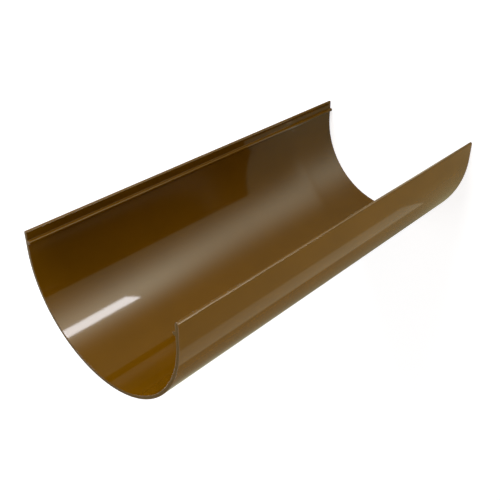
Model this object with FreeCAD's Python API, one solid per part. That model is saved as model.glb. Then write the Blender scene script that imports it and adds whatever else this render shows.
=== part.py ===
import FreeCAD, Part
import math
import os
from dataclasses import dataclass

# Deep half-round rainwater gutter, a short length of extruded rigid plastic.
# The channel is one extrusion of constant section, open along its front and at both ends.
# It stands on one of its square-cut ends, because on its round bottom it would rock.
# Millimetres. X runs across the channel, -Y out of its open front, +Z along it. The origin
# is on the floor, midway between the two walls and midway between the rims and the back.

# Driving dimensions
channel_width = 125.0       # outside, across the two walls: the nominal size of the profile
channel_length = 282.0      # cut length
wall = 2.1                  # thickness all round the section
wall_rise = 12.5            # straight part of each wall, between the half round and the rim
rim_radius = 1.0            # rounding of both edges of each rim
bead_drop = 7.0             # from the rim to the middle of the clip bead
bead_reach = 2.0            # how far the clip bead stands in from the wall
bead_radius = 1.2           # its round nose
bead_root_radius = 0.5      # fillet on each side, where it leaves the wall

# Places that follow from them
outer_radius = channel_width / 2
inner_radius = outer_radius - wall
channel_depth = outer_radius + wall_rise
rim_y = -channel_depth / 2
axis_y = rim_y + wall_rise
bead_y = rim_y + bead_drop
bead_nose_x = inner_radius - bead_reach + bead_radius
rim_rounding = min(rim_radius, wall / 2)

MEETING = 1e-6              # arcs whose ends are closer than this need no straight run between


@dataclass(frozen=True)
class ArcRun:
    """An arc of the section in the XY plane, its angles measured from +X towards +Y."""

    centre_x: float
    centre_y: float
    radius: float
    start_deg: float
    end_deg: float

    def at(self, degrees):
        """Point of the arc's circle at an angle."""
        angle = math.radians(degrees)
        x = self.centre_x + self.radius * math.cos(angle)
        y = self.centre_y + self.radius * math.sin(angle)
        return FreeCAD.Vector(x, y, 0)

    @property
    def start(self):
        return self.at(self.start_deg)

    @property
    def end(self):
        return self.at(self.end_deg)

    def edge(self):
        middle = self.at((self.start_deg + self.end_deg) / 2)
        return Part.Arc(self.start, middle, self.end).toShape()

    def mirrored(self):
        """The same arc on the wall at -X, run the other way round."""
        return ArcRun(
            -self.centre_x, self.centre_y, self.radius, 180 - self.end_deg, 180 - self.start_deg
        )


def rim():
    """The two rounded edges of the rim at +X, from outside to inside."""
    centre_y = rim_y + rim_rounding
    return [
        ArcRun(outer_radius - rim_rounding, centre_y, rim_rounding, 0, -90),
        ArcRun(inner_radius + rim_rounding, centre_y, rim_rounding, -90, -180),
    ]


def clip_bead():
    """The clip bead inside the wall at +X, from its root nearer the rim to the other.

    Each root fillet is tangent to the wall and to the nose, so its centre is one
    fillet radius in from the wall, and as far from the nose's centre as the two
    radii together.
    """
    root_x = inner_radius - bead_root_radius
    across = root_x - bead_nose_x
    along = math.sqrt((bead_radius + bead_root_radius) ** 2 - across ** 2)
    touch_deg = math.degrees(math.atan2(along, across))
    return [
        ArcRun(root_x, bead_y - along, bead_root_radius, 0, 180 - touch_deg),
        ArcRun(bead_nose_x, bead_y, bead_radius, -touch_deg, touch_deg - 360),
        ArcRun(root_x, bead_y + along, bead_root_radius, touch_deg - 180, 0),
    ]


def section_arcs():
    """Every arc of the closed section, in order round it."""
    outer_round = ArcRun(0, axis_y, outer_radius, 180, 0)
    inner_round = ArcRun(0, axis_y, inner_radius, 0, 180)
    wall_ends = rim() + clip_bead()
    other_wall_ends = [arc.mirrored() for arc in reversed(wall_ends)]
    return [outer_round] + wall_ends + [inner_round] + other_wall_ends


def section_face():
    """The closed section: its arcs, joined by straight runs where two of them don't meet."""
    arcs = section_arcs()
    edges = []
    for arc, following in zip(arcs, arcs[1:] + arcs[:1]):
        edges.append(arc.edge())
        if not arc.end.isEqual(following.start, MEETING):
            edges.append(Part.LineSegment(arc.end, following.start).toShape())
    return Part.Face(Part.Wire(edges))


def gutter_channel():
    """The section drawn out upwards from the floor to the channel's length."""
    return section_face().extrude(FreeCAD.Vector(0, 0, channel_length))


os.makedirs("parts", exist_ok=True)
gutter_channel().exportStep("parts/gutter_channel.step")
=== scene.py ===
"""Looks of the deep half-round gutter section: its plastic, its sawn ends, studio and camera."""

import logging
import math
from abc import ABC, abstractmethod
from dataclasses import dataclass
from enum import Enum
from typing import Union

import bpy
from mathutils import Matrix, Vector


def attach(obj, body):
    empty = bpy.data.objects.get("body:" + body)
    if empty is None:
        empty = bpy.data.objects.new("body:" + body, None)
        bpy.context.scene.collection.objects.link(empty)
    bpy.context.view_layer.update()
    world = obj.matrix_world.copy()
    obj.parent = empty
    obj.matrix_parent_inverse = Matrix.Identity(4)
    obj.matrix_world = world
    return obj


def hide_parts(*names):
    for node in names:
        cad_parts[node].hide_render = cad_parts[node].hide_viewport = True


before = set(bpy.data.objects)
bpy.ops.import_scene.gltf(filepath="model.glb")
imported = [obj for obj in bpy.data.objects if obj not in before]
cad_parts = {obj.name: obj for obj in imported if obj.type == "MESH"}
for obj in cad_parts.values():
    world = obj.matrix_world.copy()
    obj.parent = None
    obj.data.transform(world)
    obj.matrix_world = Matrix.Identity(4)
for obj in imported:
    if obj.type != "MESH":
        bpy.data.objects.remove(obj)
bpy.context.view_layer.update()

log = logging.getLogger("gutter")

CHANNEL_NODE = "gutter_channel"
MILLIMETRE = 0.001
SAME_PLACE = 1e-8

Colour = tuple[float, float, float, float]
Point = tuple[float, float, float]
Spot = tuple[float, float]
Corners = tuple[Point, Point, Point, Point]

WHITE: Colour = (1.0, 1.0, 1.0, 1.0)


class MixMode(Enum):
    """How two colours are joined."""

    BLEND = "MIX"
    ADD = "ADD"


class Seen(Enum):
    """Which rays meet a piece of the studio."""

    BY_ALL = "all"
    IN_GLOSS_ONLY = "in gloss only"


@dataclass(frozen=True)
class Step:
    """A soft step from 0 to 1: where it leaves 0 and where it reaches 1."""

    start: float
    end: float


class Value:
    """A number that varies over a surface. Arithmetic on it adds Math nodes."""

    def __init__(self, graph: "Graph", socket: bpy.types.NodeSocket) -> None:
        """Wrap one output socket.

        Args:
            graph: The node graph that the socket belongs to.
            socket: The output that carries the number.
        """
        self.graph = graph
        self.socket = socket

    def _math(self, operation: str, first: "Feed", second: "Feed") -> "Value":
        """Add one Math node.

        Args:
            operation: The Math node's operation.
            first: Its first input.
            second: Its second input.

        Returns:
            The node's result.
        """
        return self.graph.value("ShaderNodeMath", {"operation": operation}, {0: first, 1: second})

    def __add__(self, other: "Feed") -> "Value":
        """This number plus another."""
        return self._math("ADD", self, other)

    def __radd__(self, other: "Feed") -> "Value":
        """Another number plus this one."""
        return self._math("ADD", other, self)

    def __sub__(self, other: "Feed") -> "Value":
        """This number less another."""
        return self._math("SUBTRACT", self, other)

    def __rsub__(self, other: "Feed") -> "Value":
        """Another number less this one."""
        return self._math("SUBTRACT", other, self)

    def __mul__(self, other: "Feed") -> "Value":
        """This number times another."""
        return self._math("MULTIPLY", self, other)

    def over(self, step: Step) -> "Value":
        """A soft step.

        Args:
            step: Where the step starts and ends.

        Returns:
            0 before its start, 1 after its end, and a smooth rise between.
        """
        return self.graph.value(
            "ShaderNodeMapRange",
            {"interpolation_type": "SMOOTHSTEP"},
            {"Value": self, "From Min": step.start, "From Max": step.end},
        )

    def largest(self, other: "Feed") -> "Value":
        """The larger of this number and another."""
        return self._math("MAXIMUM", self, other)

    def raised(self, power: "Feed") -> "Value":
        """This number to a power."""
        return self._math("POWER", self, power)

    def exponential(self) -> "Value":
        """The exponential of this number."""
        return self._math("EXPONENT", self, 0.0)

    def angle(self, along: "Feed") -> "Value":
        """The angle in radians whose tangent is this number over another, all the way round."""
        return self._math("ARCTAN2", self, along)

    def hill(self, middle: float, width: float) -> "Value":
        """A soft hill.

        Args:
            middle: Where it is highest.
            width: How far from there it has fallen to 0.61.

        Returns:
            1 on top, falling to 0 on both sides.
        """
        off = (self - middle) * (1 / width)
        return (off * off * -0.5).exponential()


Feed = Union[float, Colour, Point, Value, bpy.types.NodeSocket]


class Graph:
    """The nodes of one material or of the world."""

    def __init__(self, tree: bpy.types.NodeTree) -> None:
        """Start an empty graph.

        Args:
            tree: The node tree to fill. What is in it is cleared.
        """
        self.tree = tree
        self.tree.nodes.clear()

    def node(
        self, kind: str, settings: dict | None = None, inputs: dict | None = None
    ) -> bpy.types.Node:
        """Add one node.

        Args:
            kind: The node's type.
            settings: Its settings, set before its inputs.
            inputs: What its sockets get, by identifier, name or place.

        Returns:
            The node.
        """
        made = self.tree.nodes.new(kind)
        for name, setting in (settings or {}).items():
            setattr(made, name, setting)
        for name, feed in (inputs or {}).items():
            self._feed(self._input(made, name), feed)
        return made

    def value(
        self,
        kind: str,
        settings: dict | None = None,
        inputs: dict | None = None,
        output: str | int = 0,
    ) -> Value:
        """Add one node and take a number from it.

        Args:
            kind: The node's type.
            settings: Its settings.
            inputs: What its sockets get.
            output: The name or place of the output.

        Returns:
            The output as a Value.
        """
        return Value(self, self.node(kind, settings, inputs).outputs[output])

    def mix(
        self, factor: Feed, first: Feed, second: Feed, mode: MixMode = MixMode.BLEND
    ) -> bpy.types.NodeSocket:
        """Join two colours.

        Args:
            factor: How much of the second colour.
            first: The first colour.
            second: The second colour.
            mode: How they are joined.

        Returns:
            The colour socket.
        """
        made = self.node(
            "ShaderNodeMix",
            {"data_type": "RGBA", "blend_type": mode.value, "clamp_factor": False},
            {"Factor_Float": factor, "A_Color": first, "B_Color": second},
        )
        return next(socket for socket in made.outputs if socket.identifier == "Result_Color")

    def scaled(self, vector: Feed, by: Point) -> bpy.types.NodeSocket:
        """Scale a vector.

        Args:
            vector: The vector.
            by: The scale along each axis.

        Returns:
            The vector socket.
        """
        made = self.node("ShaderNodeVectorMath", {"operation": "MULTIPLY"}, {0: vector, 1: by})
        return made.outputs[0]

    def part(self, vector: Feed, axis: str) -> Value:
        """One part of a vector, by the name of its axis."""
        return self.value("ShaderNodeSeparateXYZ", {}, {"Vector": vector}, axis)

    def position(self) -> bpy.types.NodeSocket:
        """Where a point of the surface is in the scene."""
        return self.node("ShaderNodeNewGeometry").outputs["Position"]

    def place(self) -> bpy.types.NodeSocket:
        """Where a point of the surface is on its own object."""
        return self.node("ShaderNodeTexCoord").outputs["Object"]

    def noise(self, vector: Feed, scale: float, detail: float = 2.0) -> Value:
        """Smooth noise.

        Args:
            vector: Where it is read.
            scale: Its cells to a metre.
            detail: Its finer layers.

        Returns:
            A number near 0.5.
        """
        return self.value(
            "ShaderNodeTexNoise",
            {"noise_dimensions": "3D"},
            {"Vector": vector, "Scale": scale, "Detail": detail},
        )

    def bump(self, strength: float, depth: float, height: Value) -> bpy.types.NodeSocket:
        """Tilt the surface's normal by a height.

        Args:
            strength: How much of the tilt is kept.
            depth: How deep a height of 1 is, in metres.
            height: The height.

        Returns:
            The normal socket.
        """
        inputs = {"Strength": strength, "Distance": depth, "Height": height}
        return self.node("ShaderNodeBump", {}, inputs).outputs["Normal"]

    def emission(self, colour: Feed, level: float = 1.0) -> bpy.types.Node:
        """A shader that glows with a colour."""
        return self.node("ShaderNodeEmission", {}, {"Color": colour, "Strength": level})

    def between(
        self, factor: Feed, first: bpy.types.Node, second: bpy.types.Node
    ) -> bpy.types.Node:
        """Mix two shaders.

        Args:
            factor: How much of the second shader.
            first: The first shader node.
            second: The second shader node.

        Returns:
            The Mix Shader node.
        """
        inputs = {"Fac": factor, 1: first.outputs[0], 2: second.outputs[0]}
        return self.node("ShaderNodeMixShader", {}, inputs)

    def finish(self, shader: bpy.types.Node, output: str = "ShaderNodeOutputMaterial") -> None:
        """Lead a shader to the output.

        Args:
            shader: The last shader node.
            output: The type of the output node.
        """
        self.node(output, {}, {"Surface": shader.outputs[0]})

    def _input(self, made: bpy.types.Node, name: str | int) -> bpy.types.NodeSocket:
        """Find an input socket.

        Args:
            made: The node.
            name: The socket's identifier, name or place.

        Returns:
            The socket.
        """
        if isinstance(name, int):
            return made.inputs[name]
        for socket in made.inputs:
            if socket.identifier == name:
                return socket
        return made.inputs[name]

    def _feed(self, socket: bpy.types.NodeSocket, feed: Feed) -> None:
        """Link or set one input.

        Args:
            socket: The input.
            feed: What it gets.
        """
        if isinstance(feed, Value):
            self.tree.links.new(feed.socket, socket)
        elif isinstance(feed, bpy.types.NodeSocket):
            self.tree.links.new(feed, socket)
        else:
            socket.default_value = feed


class Finish(ABC):
    """A surface's look: one shader, in a material of its own."""

    name: str

    @abstractmethod
    def shader(self, graph: Graph) -> bpy.types.Node:
        """Make the shader.

        Args:
            graph: The graph of the material.

        Returns:
            The shader node.
        """

    def material(self) -> bpy.types.Material:
        """Make the material.

        Returns:
            The material.
        """
        made = bpy.data.materials.new(self.name)
        made.use_nodes = True
        graph = Graph(made.node_tree)
        graph.finish(self.shader(graph))
        return made


@dataclass(frozen=True)
class ExtrudedPlastic(Finish):
    """Through-coloured rigid plastic as it leaves the die: hard and glossy.

    The outline map is the UV map that runs round the section and along the length, in metres.
    """

    name: str = "extruded_brown_plastic"
    outline_map: str = "outline_and_length"
    colour: Colour = (0.158, 0.0640, 0.0006, 1.0)
    deep_colour: Colour = (0.146, 0.0592, 0.0005, 1.0)
    clouds_to_metre: float = 35.0
    clouding: Step = Step(0.3, 0.7)
    roughness: float = 0.045
    line_roughness: float = 0.015
    drift_roughness: float = 0.025
    index: float = 1.5
    die_line_pitch: float = 1.1 * MILLIMETRE
    die_line_stretch: Point = (1.0, 0.004, 1.0)
    drifts_to_metre: float = 28.0
    drift_stretch: Point = (1.0, 0.25, 1.0)
    grain_pitch: float = 0.35 * MILLIMETRE
    line_height: float = 0.25
    grain_height: float = 0.5
    bump_strength: float = 0.10
    bump_depth: float = 0.02 * MILLIMETRE

    def shader(self, graph: Graph) -> bpy.types.Node:
        """Make the shader: die lines along the length, with fine grain and slow drifts.

        Args:
            graph: The graph of the material.

        Returns:
            The Principled node.
        """
        along = graph.node("ShaderNodeUVMap", {"uv_map": self.outline_map}).outputs["UV"]
        place = graph.place()
        die_lines = graph.scaled(along, self.die_line_stretch)
        lines = graph.noise(die_lines, 1 / self.die_line_pitch, detail=3.0)
        drift = graph.noise(graph.scaled(along, self.drift_stretch), self.drifts_to_metre)
        cloud = graph.noise(place, self.clouds_to_metre, detail=3.0)
        grain = graph.noise(place, 1 / self.grain_pitch)
        height = lines * self.line_height + grain * self.grain_height
        roughness = self.roughness + lines * self.line_roughness + drift * self.drift_roughness
        return graph.node(
            "ShaderNodeBsdfPrincipled",
            {"distribution": "GGX"},
            {
                "Base Color": graph.mix(cloud.over(self.clouding), self.colour, self.deep_colour),
                "Roughness": roughness,
                "IOR": self.index,
                "Normal": graph.bump(self.bump_strength, self.bump_depth, height),
            },
        )


@dataclass(frozen=True)
class SawnPlastic(Finish):
    """The same plastic where the saw has gone through it: matt, with fine marks across the cut."""

    name: str = "sawn_brown_plastic"
    colour: Colour = (0.125, 0.068, 0.009, 1.0)
    dusty_colour: Colour = (0.150, 0.084, 0.018, 1.0)
    specks_to_metre: float = 900.0
    speckling: Step = Step(0.45, 0.75)
    roughness: float = 0.5
    mark_roughness: float = 0.1
    sheen: float = 0.12
    mark_pitch: float = 0.5 * MILLIMETRE
    mark_stretch: Point = (1.0, 0.02, 1.0)
    speck_height: float = 0.4
    bump_strength: float = 0.3
    bump_depth: float = 0.03 * MILLIMETRE

    def shader(self, graph: Graph) -> bpy.types.Node:
        """Make the shader: saw marks and paler specks of dust.

        Args:
            graph: The graph of the material.

        Returns:
            The Principled node.
        """
        place = graph.place()
        marks = graph.noise(graph.scaled(place, self.mark_stretch), 1 / self.mark_pitch)
        specks = graph.noise(place, self.specks_to_metre, detail=3.0)
        height = marks + specks * self.speck_height
        return graph.node(
            "ShaderNodeBsdfPrincipled",
            {},
            {
                "Base Color": graph.mix(
                    specks.over(self.speckling), self.colour, self.dusty_colour
                ),
                "Roughness": self.roughness + marks * self.mark_roughness,
                "Specular IOR Level": self.sheen,
                "Normal": graph.bump(self.bump_strength, self.bump_depth, height),
            },
        )


def looked_at(graph: Graph) -> Value:
    """Tell the rays that look at a background from the rays that light the gutter.

    Args:
        graph: The graph of the background's material or of the world.

    Returns:
        1 for rays from the camera and for those in gloss and glass, and 0 for the rest.
    """
    rays = graph.node("ShaderNodeLightPath")
    seen = Value(graph, rays.outputs["Is Camera Ray"])
    seen = seen.largest(Value(graph, rays.outputs["Is Glossy Ray"]))
    return seen.largest(Value(graph, rays.outputs["Is Transmission Ray"]))


@dataclass(frozen=True)
class PaleFloor(Finish):
    """A pale matt floor that the camera, gloss and glass see as white, with the shadow on it.

    It is lifted towards white by its own light, less round the gutter than farther off.
    """

    name: str = "pale_floor"
    colour: Colour = (0.62, 0.62, 0.62, 1.0)
    lift: float = 0.77
    far_lift: float = 0.93
    fade: Step = Step(0.5, 1.5)

    def shader(self, graph: Graph) -> bpy.types.Node:
        """Make the shader: matt for the light, and matt with the lift for what looks at it.

        Args:
            graph: The graph of the material.

        Returns:
            The Mix Shader node.
        """
        matt = graph.node("ShaderNodeBsdfDiffuse", {}, {"Color": self.colour})
        length = {"operation": "LENGTH"}
        reach = graph.value("ShaderNodeVectorMath", length, {0: graph.position()}, "Value")
        near, far = ((level, level, level, 1.0) for level in (self.lift, self.far_lift))
        glow = graph.emission(graph.mix(reach.over(self.fade), near, far))
        lifted = graph.node("ShaderNodeAddShader", {}, {0: matt.outputs[0], 1: glow.outputs[0]})
        return graph.between(looked_at(graph), matt, lifted)


@dataclass(frozen=True)
class CardGlow(Finish):
    """The face of a card that only the gloss mirrors: an even glow."""

    name: str
    colour: Colour
    level: float = 1.0

    def shader(self, graph: Graph) -> bpy.types.Node:
        """Make the card's glow."""
        return graph.emission(self.colour, self.level)


@dataclass(frozen=True)
class Beam:
    """One soft beam of the fan: where it points and how wide it is, from the fan's middle."""

    turn_deg: float
    width_deg: float

    def across(self, turn: Value) -> Value:
        """How strong the beam is at an angle in radians."""
        return turn.hill(math.radians(self.turn_deg), math.radians(self.width_deg))


@dataclass(frozen=True)
class FanGlow(CardGlow):
    """A card seen only in the gloss, glowing dimly as a painted reflection, with a painted soft fan of
    light on it, which opens from the gutter's mouth.

    The fan turns by turn_deg from -Y towards -X. Its near, far and back beams come from the
    focus, where the near one is weakened by the dip. Part of the card's glow is painted darker, as
    painted shade.
    """

    # The card's dim glow is a painted reflection, fan_colour its painted light and shade_colour its
    # painted shade.
    colour: Colour = (0.33, 0.33, 0.205, 1.0)
    fan_colour: Colour = (1.0, 1.0, 0.80, 1.0)
    shade_colour: Colour = (0.205, 0.205, 0.140, 1.0)
    focus: Spot = (23.5 * MILLIMETRE, -3.0 * MILLIMETRE)
    turn_deg: float = 34.1
    near_beam: Beam = Beam(-3.0, 14.7)
    near_level: float = 1.70
    near_reach: Step = Step(4.0 * MILLIMETRE, 12.0 * MILLIMETRE)
    dip: float = 0.44
    dip_reach: float = 40.0 * MILLIMETRE
    far_beam: Beam = Beam(5.5, 10.7)
    far_level: float = 1.80
    far_reach: Step = Step(90.0 * MILLIMETRE, 390.0 * MILLIMETRE)
    back_beam: Beam = Beam(-18.0, 20.0)
    back_level: float = 1.25
    shade_out: Step = Step(0.0, 50.0 * MILLIMETRE)
    shade_aside: Step = Step(20.0 * MILLIMETRE, 120.0 * MILLIMETRE)
    shade_slant: float = 0.55

    def shader(self, graph: Graph) -> bpy.types.Node:
        """Make the card's glow: beams from the focus, by angle and distance.

        Args:
            graph: The graph of the material.

        Returns:
            The emission node.
        """
        position = graph.position()
        across = graph.part(position, "X") - self.focus[0]
        out = graph.part(position, "Y") - self.focus[1]
        sine, cosine = math.sin(math.radians(self.turn_deg)), math.cos(math.radians(self.turn_deg))
        along = across * -sine - out * cosine
        aside = across * cosine - out * sine
        reach = (along * along + aside * aside).raised(0.5)
        near = self.near_level - (reach * (-1 / self.dip_reach)).exponential() * self.dip
        near = near * reach.over(self.near_reach)
        far = reach.over(self.far_reach) * self.far_level
        ahead = aside.angle(along)
        behind = (aside * -1.0).angle(along * -1.0)
        fan = self.near_beam.across(ahead) * near + self.far_beam.across(ahead) * far
        fan = fan + self.back_beam.across(behind) * self.back_level
        # Painted shade: the glow is made darker over this part of the card.
        slant = across * -1.0 - out * self.shade_slant
        shade = out.over(self.shade_out) * (1.0 - slant.over(self.shade_aside))
        dim_reflection = graph.mix(shade, self.colour, self.shade_colour)
        lit = graph.mix(1.0, dim_reflection, self.fan_colour, MixMode.ADD)
        return graph.emission(graph.mix(fan, dim_reflection, lit), self.level)


@dataclass(frozen=True)
class ScreenGlow(FanGlow):
    """The painted fan of light on a low screen that thins out to nothing at its top."""

    thinning: Step = Step(24.0 * MILLIMETRE, 40.0 * MILLIMETRE)

    def shader(self, graph: Graph) -> bpy.types.Node:
        """Make the screen's glow, clear where it has thinned out.

        Args:
            graph: The graph of the material.

        Returns:
            The Mix Shader node.
        """
        height = graph.part(graph.position(), "Z")
        clear = graph.node("ShaderNodeBsdfTransparent")
        return graph.between(height.over(self.thinning), super().shader(graph), clear)


@dataclass(frozen=True)
class OutlinePoint:
    """A point of the section's outline, with its normal out of the plastic."""

    x: float
    y: float
    normal_x: float
    normal_y: float

    def away_from(self, other: "OutlinePoint") -> float:
        """Distance to another point."""
        return math.hypot(self.x - other.x, self.y - other.y)


@dataclass(frozen=True)
class OutlineArc:
    """An arc of the outline, its angles measured from +X towards +Y."""

    centre_x: float
    centre_y: float
    radius: float
    start_deg: float
    end_deg: float
    hollow: bool = False
    fewest_steps: int = 2

    def points(self, step_deg: float) -> list[OutlinePoint]:
        """Walk along the arc.

        Args:
            step_deg: The widest step.

        Returns:
            Its points, both ends included.
        """
        sweep = self.end_deg - self.start_deg
        count = max(self.fewest_steps, math.ceil(abs(sweep) / step_deg))
        sign = -1.0 if self.hollow else 1.0
        walked = []
        for i in range(count + 1):
            angle = math.radians(self.start_deg + sweep * i / count)
            x, y = math.cos(angle), math.sin(angle)
            at_x, at_y = self.centre_x + self.radius * x, self.centre_y + self.radius * y
            walked.append(OutlinePoint(at_x, at_y, sign * x, sign * y))
        return walked

    def mirrored(self) -> "OutlineArc":
        """The same arc on the wall at -X, run the other way round."""
        start, end = 180 - self.end_deg, 180 - self.start_deg
        return OutlineArc(-self.centre_x, self.centre_y, self.radius, start, end, self.hollow)


@dataclass(frozen=True)
class GutterSection:
    """The extruded section, in metres, from the same sizes as the part's source."""

    width: float = 125.0 * MILLIMETRE
    wall: float = 2.1 * MILLIMETRE
    wall_rise: float = 12.5 * MILLIMETRE
    rim_radius: float = 1.0 * MILLIMETRE
    bead_drop: float = 7.0 * MILLIMETRE
    bead_reach: float = 2.0 * MILLIMETRE
    bead_radius: float = 1.2 * MILLIMETRE
    bead_root_radius: float = 0.5 * MILLIMETRE
    large_radius: float = 10.0 * MILLIMETRE
    large_step_deg: float = 1.0
    small_step_deg: float = 9.0

    @property
    def outer_radius(self) -> float:
        """Radius of the round outside."""
        return self.width / 2

    @property
    def inner_radius(self) -> float:
        """Radius of the round inside."""
        return self.outer_radius - self.wall

    @property
    def rim_y(self) -> float:
        """Where the rims are."""
        return -(self.outer_radius + self.wall_rise) / 2

    @property
    def axis_y(self) -> float:
        """Where the middle of the half round is."""
        return self.rim_y + self.wall_rise

    def rim(self) -> list[OutlineArc]:
        """Round off the rim at +X.

        Returns:
            Its two rounded edges, from outside to inside.
        """
        radius = self.rim_radius
        centre_y = self.rim_y + radius
        return [
            OutlineArc(self.outer_radius - radius, centre_y, radius, 0, -90),
            OutlineArc(self.inner_radius + radius, centre_y, radius, -90, -180),
        ]

    def clip_bead(self) -> list[OutlineArc]:
        """Shape the clip bead inside the wall at +X.

        Returns:
            Its nose between its two root fillets, the one nearer the rim first.
        """
        root = self.bead_root_radius
        bead_y = self.rim_y + self.bead_drop
        nose_x = self.inner_radius - self.bead_reach + self.bead_radius
        root_x = self.inner_radius - root
        across = root_x - nose_x
        along = math.sqrt((self.bead_radius + root) ** 2 - across**2)
        touch = math.degrees(math.atan2(along, across))
        return [
            OutlineArc(root_x, bead_y - along, root, 0, 180 - touch, hollow=True),
            OutlineArc(nose_x, bead_y, self.bead_radius, -touch, touch - 360),
            OutlineArc(root_x, bead_y + along, root, touch - 180, 0, hollow=True),
        ]

    def outline(self) -> list[OutlinePoint]:
        """Walk round the closed section.

        Returns:
            Its points in order, none of them twice.
        """
        wall_ends = self.rim() + self.clip_bead()
        arcs = [OutlineArc(0.0, self.axis_y, self.outer_radius, 180, 0)]
        arcs += wall_ends
        arcs.append(OutlineArc(0.0, self.axis_y, self.inner_radius, 0, 180, hollow=True))
        arcs += [arc.mirrored() for arc in reversed(wall_ends)]
        walked: list[OutlinePoint] = []
        for arc in arcs:
            large = arc.radius > self.large_radius
            for point in arc.points(self.large_step_deg if large else self.small_step_deg):
                if not walked or point.away_from(walked[-1]) >= SAME_PLACE:
                    walked.append(point)
        if walked[0].away_from(walked[-1]) < SAME_PLACE:
            walked.pop()
        return walked


@dataclass
class GutterChannel:
    """The gutter: its section drawn out along Z and sawn square at both ends."""

    section: GutterSection = GutterSection()
    length: float = 282.0 * MILLIMETRE
    sawn_edge: float = 0.12 * MILLIMETRE
    edge_steps: int = 3
    skin: ExtrudedPlastic = ExtrudedPlastic()
    cut: SawnPlastic = SawnPlastic()

    def build(self) -> bpy.types.Object:
        """Build and dress the channel.

        Returns:
            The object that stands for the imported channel.
        """
        mesh = self._mesh()
        piece = bpy.data.objects.new("gutter_channel_skin", mesh)
        bpy.context.scene.collection.objects.link(piece)
        mesh.materials.append(self.skin.material())
        mesh.materials.append(self.cut.material())
        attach(piece, "root")
        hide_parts(CHANNEL_NODE)
        return piece

    def _stations(self) -> list[tuple[float, float, float]]:
        """The rings along the length, which round off the sawn edge at both ends.

        Returns:
            Each ring's height, how far it is set in from the section, and the Z part of its
            normals.
        """
        lower = []
        for i in range(self.edge_steps + 1):
            turn = math.radians(90 * i / self.edge_steps)
            height = self.sawn_edge * (1 - math.cos(turn))
            inset = self.sawn_edge * (1 - math.sin(turn))
            lower.append((height, inset, -math.cos(turn)))
        upper = [(self.length - height, inset, -lift) for height, inset, lift in reversed(lower)]
        return lower + upper

    def _mesh(self) -> bpy.types.Mesh:
        """Make the mesh, its map and its normals.

        Returns:
            The mesh.
        """
        outline = self.section.outline()
        stations = self._stations()
        count, rings = len(outline), len(stations)
        corners: list[Point] = []
        normals: list[Point] = []
        for height, inset, lift in stations:
            flat = math.sqrt(max(0.0, 1 - lift * lift))
            for point in outline:
                x, y = point.x - inset * point.normal_x, point.y - inset * point.normal_y
                corners.append((x, y, height))
                normals.append((flat * point.normal_x, flat * point.normal_y, lift))
        faces: list[list[int]] = []
        for ring in range(rings - 1):
            for i in range(count):
                j = (i + 1) % count
                low, high = ring * count, (ring + 1) * count
                faces.append([low + j, low + i, high + i, high + j])
        sides = len(faces)
        faces.append(list(range(count)))
        faces.append([(rings - 1) * count + i for i in reversed(range(count))])
        mesh = bpy.data.meshes.new("gutter_channel_skin")
        mesh.from_pydata(corners, [], faces)
        mesh.validate()
        self._map_outline(mesh, outline)
        for polygon in mesh.polygons:
            polygon.use_smooth = True
            polygon.material_index = 0 if polygon.index < sides else 1
        mesh.normals_split_custom_set_from_vertices(normals)
        mesh.update()
        return mesh

    def _map_outline(self, mesh: bpy.types.Mesh, outline: list[OutlinePoint]) -> None:
        """Give the mesh a map whose U runs round the section and V along it, in metres.

        The last quad round the section ends at the whole way round, and not at 0.

        Args:
            mesh: The channel's mesh.
            outline: The section's points.
        """
        count = len(outline)
        run = [0.0]
        for i in range(count):
            run.append(run[-1] + outline[(i + 1) % count].away_from(outline[i]))
        layer = mesh.uv_layers.new(name=self.skin.outline_map)
        for polygon in mesh.polygons:
            places = [mesh.loops[k].vertex_index % count for k in polygon.loop_indices]
            closing = len(places) == 4 and 0 in places and (count - 1) in places
            for k, place in zip(polygon.loop_indices, places):
                around = run[count] if closing and place == 0 else run[place]
                layer.data[k].uv = (around, mesh.vertices[mesh.loops[k].vertex_index].co.z)


def outward(azimuth_deg: float, elevation_deg: float) -> Vector:
    """A direction out from the gutter.

    Args:
        azimuth_deg: Its turn from -Y towards +X.
        elevation_deg: Its rise from the level.

    Returns:
        The direction, of length 1.
    """
    azimuth, elevation = math.radians(azimuth_deg), math.radians(elevation_deg)
    flat = math.cos(elevation)
    return Vector((math.sin(azimuth) * flat, -math.cos(azimuth) * flat, math.sin(elevation)))


@dataclass(frozen=True)
class SoftLamp:
    """A soft studio lamp that faces the gutter."""

    name: str
    azimuth_deg: float
    elevation_deg: float
    radiance: float
    width: float = 0.8
    height: float = 0.8
    distance: float = 1.5
    aim: Point = (0.0, 0.0, 0.14)

    def build(self) -> bpy.types.Object:
        """Hang the lamp.

        Returns:
            The lamp, which lights and shows in the gloss but isn't seen itself.
        """
        data = bpy.data.lights.new(self.name, "AREA")
        data.shape = "RECTANGLE"
        data.size = self.width
        data.size_y = self.height
        data.energy = self.radiance * self.width * self.height * math.pi
        lamp = bpy.data.objects.new(self.name, data)
        bpy.context.scene.collection.objects.link(lamp)
        away = outward(self.azimuth_deg, self.elevation_deg)
        turn = (-away).to_track_quat("-Z", "Y").to_matrix().to_4x4()
        lamp.matrix_world = Matrix.Translation(Vector(self.aim) + away * self.distance) @ turn
        lamp.visible_camera = False
        return lamp


def level_square(reach: float, height: float) -> Corners:
    """The corners of a level square about the gutter.

    Args:
        reach: How far it reaches to each side.
        height: How high it lies.

    Returns:
        The four corners.
    """
    return (
        (-reach, -reach, height),
        (reach, -reach, height),
        (reach, reach, height),
        (-reach, reach, height),
    )


def upright(start: Spot, end: Spot, foot: float, top: float) -> Corners:
    """The corners of an upright panel.

    Args:
        start: Where it starts, seen from above.
        end: Where it ends.
        foot: How high its lower edge is.
        top: How high its upper edge is.

    Returns:
        The four corners.
    """
    return ((*start, foot), (*end, foot), (*end, top), (*start, top))


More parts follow.
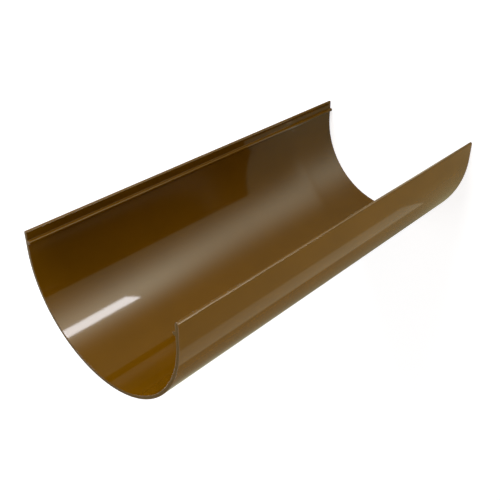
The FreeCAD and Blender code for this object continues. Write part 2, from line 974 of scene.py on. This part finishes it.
@dataclass(frozen=True)
class StudioPanel:
    """A flat panel of the studio: the floor, or a card that the gloss mirrors."""

    name: str
    corners: Corners
    face: Finish
    seen: Seen = Seen.BY_ALL

    def build(self) -> bpy.types.Object:
        """Set up the panel.

        Returns:
            The panel.
        """
        mesh = bpy.data.meshes.new(self.name)
        mesh.from_pydata(list(self.corners), [], [[0, 1, 2, 3]])
        mesh.materials.append(self.face.material())
        panel = bpy.data.objects.new(self.name, mesh)
        bpy.context.scene.collection.objects.link(panel)
        if self.seen is Seen.IN_GLOSS_ONLY:
            panel.visible_camera = False
            panel.visible_diffuse = False
            panel.visible_shadow = False
        return panel


@dataclass(frozen=True)
class WideCards:
    """The glowing cards, seen only in the gloss, that paint its broad reflected tones: a dim one with
    the painted fan, a ceiling and a pale one.
    """

    reach: float = 3.0
    # Each card glows and is seen only in the gloss: painted reflections.
    dim_reflection: FanGlow = FanGlow("dim_reflection_card")
    dim_reflection_height: float = 1.0 * MILLIMETRE
    ceiling: CardGlow = CardGlow("ceiling_card", WHITE, 0.30)
    ceiling_height: float = 2.5
    # The pale card glows as a painted pale reflection.
    pale: CardGlow = CardGlow("pale_card", (0.57, 0.57, 0.41, 1.0))
    pale_height: float = 2.0 * MILLIMETRE
    pale_outline: tuple[Spot, Spot, Spot, Spot] = (
        (-0.0713, 0.028),
        (-0.197, 0.470),
        (-0.343, 0.377),
        (-0.1015, 0.037),
    )

    def build(self) -> None:
        """Lay out the cards."""
        pale_corners = tuple((x, y, self.pale_height) for x, y in self.pale_outline)
        for face, corners in (
            (self.dim_reflection, level_square(self.reach, self.dim_reflection_height)),
            (self.ceiling, level_square(self.reach, self.ceiling_height)),
            (self.pale, pale_corners),
        ):
            StudioPanel(face.name, corners, face, Seen.IN_GLOSS_ONLY).build()


@dataclass(frozen=True)
class StripCard:
    """The bright upright strip before the gutter's mouth, its foot cut at a slant: it glows, seen only
    in the gloss, as the painted highlight strip inside the channel.
    """

    face: CardGlow = CardGlow("strip_highlight_card", WHITE, 16.0)
    left: Spot = (1.41 * MILLIMETRE, -39.82 * MILLIMETRE)
    right: Spot = (7.17 * MILLIMETRE, -41.76 * MILLIMETRE)
    left_foot: float = 195.5 * MILLIMETRE
    right_foot: float = 184.6 * MILLIMETRE
    top: float = 254.0 * MILLIMETRE

    def build(self) -> None:
        """Stand up the strip."""
        corners = (
            (*self.left, self.left_foot),
            (*self.right, self.right_foot),
            (*self.right, self.top),
            (*self.left, self.top),
        )
        StudioPanel("strip_highlight_card", corners, self.face, Seen.IN_GLOSS_ONLY).build()


@dataclass(frozen=True)
class FanScreen:
    """A low screen round the back of the fan's focus, seen only in the gloss and glowing with the
    painted fan: by it the foot mirrors the fan unmixed.
    """

    face: ScreenGlow = ScreenGlow("screen")
    radius: float = 20.0 * MILLIMETRE
    foot: float = 1.5 * MILLIMETRE
    top: float = 40.0 * MILLIMETRE
    turns_deg: tuple[float, ...] = (-85.0, -50.0, -15.0, 20.0, 55.0)

    def build(self) -> None:
        """Stand up the screen, one panel between each two turns."""
        spots = [self._spot(turn) for turn in self.turns_deg]
        for number, (start, end) in enumerate(zip(spots, spots[1:]), 1):
            corners = upright(start, end, self.foot, self.top)
            StudioPanel(f"screen_{number}", corners, self.face, Seen.IN_GLOSS_ONLY).build()

    def _spot(self, turn_deg: float) -> Spot:
        """Find where the screen stands at a turn.

        Args:
            turn_deg: The turn from the line straight behind the focus.

        Returns:
            The spot, seen from above.
        """
        angle = math.radians(self.face.turn_deg - turn_deg)
        focus_x, focus_y = self.face.focus
        return (focus_x + self.radius * math.sin(angle), focus_y + self.radius * math.cos(angle))


@dataclass(frozen=True)
class BeadFlags:
    """Narrow dark panels beside the clip bead at +X, seen only in the gloss: a painted dark reflection
    on the bead, with a slot that leaves its painted highlight line.

    They stand in a row from the bead's root towards the rim. The first starts higher up.
    """

    # A dark sheet seen only in the gloss: a painted dark reflection on the bead.
    face: CardGlow = CardGlow("painted_dark_reflection", (0.01, 0.01, 0.006, 1.0))
    row_start: Spot = (55.8 * MILLIMETRE, -28.0 * MILLIMETRE)
    bend: Spot = (55.8 * MILLIMETRE, -32.6 * MILLIMETRE)
    slot_start: Spot = (56.4 * MILLIMETRE, -33.3 * MILLIMETRE)
    slot_end: Spot = (57.6 * MILLIMETRE, -34.5 * MILLIMETRE)
    rim_bend: Spot = (58.0 * MILLIMETRE, -34.9 * MILLIMETRE)
    row_end: Spot = (60.2 * MILLIMETRE, -34.9 * MILLIMETRE)
    high_foot: float = 98.0 * MILLIMETRE
    foot: float = 1.5 * MILLIMETRE
    top: float = 281.0 * MILLIMETRE

    def build(self) -> None:
        """Stand up the row."""
        row = (
            (self.row_start, self.bend, self.high_foot),
            (self.bend, self.slot_start, self.foot),
            (self.slot_end, self.rim_bend, self.foot),
            (self.rim_bend, self.row_end, self.foot),
        )
        for number, (start, end, foot) in enumerate(row, 1):
            corners = upright(start, end, foot, self.top)
            StudioPanel(f"bead_painted_dark_reflection_{number}", corners, self.face, Seen.IN_GLOSS_ONLY).build()


@dataclass(frozen=True)
class RimCard:
    """A narrow warm card beside the rim at -X, which tapers downwards: it glows, seen only in the
    gloss, as the rim's painted highlight line.
    """

    face: CardGlow = CardGlow("rim_highlight_card", (1.0, 0.88, 0.66, 1.0), 16.0)
    x: float = -71.5 * MILLIMETRE
    top: float = 276.0 * MILLIMETRE
    top_back: float = -38.2 * MILLIMETRE
    top_front: float = -41.2 * MILLIMETRE
    foot: float = 150.0 * MILLIMETRE
    foot_front: float = -39.8 * MILLIMETRE
    foot_back: float = -39.6 * MILLIMETRE

    def build(self) -> None:
        """Stand up the card."""
        corners = (
            (self.x, self.top_back, self.top),
            (self.x, self.top_front, self.top),
            (self.x, self.foot_front, self.foot),
            (self.x, self.foot_back, self.foot),
        )
        StudioPanel("rim_highlight_card", corners, self.face, Seen.IN_GLOSS_ONLY).build()


@dataclass(frozen=True)
class Studio:
    """The pale floor, the cards that the gloss mirrors, the soft lamps and the world."""

    sky: float = 0.12
    floor: PaleFloor = PaleFloor()
    floor_reach: float = 6.0
    cards: tuple[Union[WideCards, StripCard, FanScreen, BeadFlags, RimCard], ...] = (
        WideCards(),
        StripCard(),
        FanScreen(),
        BeadFlags(),
        RimCard(),
    )
    lamps: tuple[SoftLamp, ...] = (
        SoftLamp(
            "front_lamp",
            azimuth_deg=12.0,
            elevation_deg=30.0,
            radiance=9.8,
            width=0.4,
            height=0.4,
            distance=0.7,
            aim=(0.0, 0.0, 0.30),
        ),
        SoftLamp("low_front_lamp", azimuth_deg=-45.0, elevation_deg=4.0, radiance=1.5),
        SoftLamp("low_side_lamp", azimuth_deg=-135.0, elevation_deg=4.0, radiance=3.2, width=1.8),
        SoftLamp("far_side_lamp", azimuth_deg=105.0, elevation_deg=8.0, radiance=3.4, width=1.4),
        SoftLamp(
            "foot_lamp",
            azimuth_deg=-115.0,
            elevation_deg=0.0,
            radiance=6.5,
            width=0.4,
            height=0.11,
            distance=0.6,
            aim=(0.0, 0.0, 0.055),
        ),
    )

    def build(self) -> None:
        """Set up the studio."""
        StudioPanel("floor", level_square(self.floor_reach, 0.0), self.floor).build()
        for card in self.cards:
            card.build()
        for lamp in self.lamps:
            lamp.build()
        self._world()

    def _world(self) -> None:
        """Light the studio all round with a dim sky that looks white."""
        world = bpy.data.worlds.new("studio")
        bpy.context.scene.world = world
        world.use_nodes = True
        graph = Graph(world.node_tree)
        sky = graph.node("ShaderNodeBackground", {}, {"Color": WHITE, "Strength": self.sky})
        white = graph.node("ShaderNodeBackground", {}, {"Color": WHITE, "Strength": 1.0})
        graph.finish(graph.between(looked_at(graph), sky, white), "ShaderNodeOutputWorld")


@dataclass(frozen=True)
class PhotoCamera:
    """The camera, in the photo's place beside the gutter and turned as the photo is."""

    at: Point = (-0.25943, -0.23758, 0.45317)
    azimuth_deg: float = -46.83
    elevation_deg: float = 38.39
    roll_deg: float = -120.23
    lens: float = 51.50
    sensor: float = 36.0
    shift_x: float = 0.01746
    shift_y: float = 0.0174
    nearest: float = 10.0 * MILLIMETRE

    def build(self) -> bpy.types.Object:
        """Set up the camera and make it the scene's.

        Returns:
            The camera.
        """
        data = bpy.data.cameras.new("photo_camera")
        data.sensor_width = self.sensor
        data.lens = self.lens
        data.shift_x = self.shift_x
        data.shift_y = self.shift_y
        data.clip_start = self.nearest
        camera = bpy.data.objects.new("photo_camera", data)
        bpy.context.scene.collection.objects.link(camera)
        azimuth, roll = math.radians(self.azimuth_deg), math.radians(self.roll_deg)
        back = outward(self.azimuth_deg, self.elevation_deg)
        level = Vector((math.cos(azimuth), math.sin(azimuth), 0.0))
        right = level * math.cos(roll) + back.cross(level) * math.sin(roll)
        turn = Matrix((right, back.cross(right), back)).transposed()
        camera.matrix_world = Matrix.Translation(self.at) @ turn.to_4x4()
        bpy.context.scene.camera = camera
        return camera


def main() -> None:
    """Build the gutter, the studio and the camera, in that order."""
    logging.basicConfig(level=logging.INFO, format="%(message)s")
    bpy.context.scene.view_settings.view_transform = "Standard"
    piece = GutterChannel().build()
    log.info("%s: %d points, %d faces", piece.name, len(piece.data.vertices), len(piece.data.polygons))
    Studio().build()
    log.info("studio set up")
    camera = PhotoCamera().build()
    log.info("%s in place", camera.name)


if __name__ == "__main__":
    main()
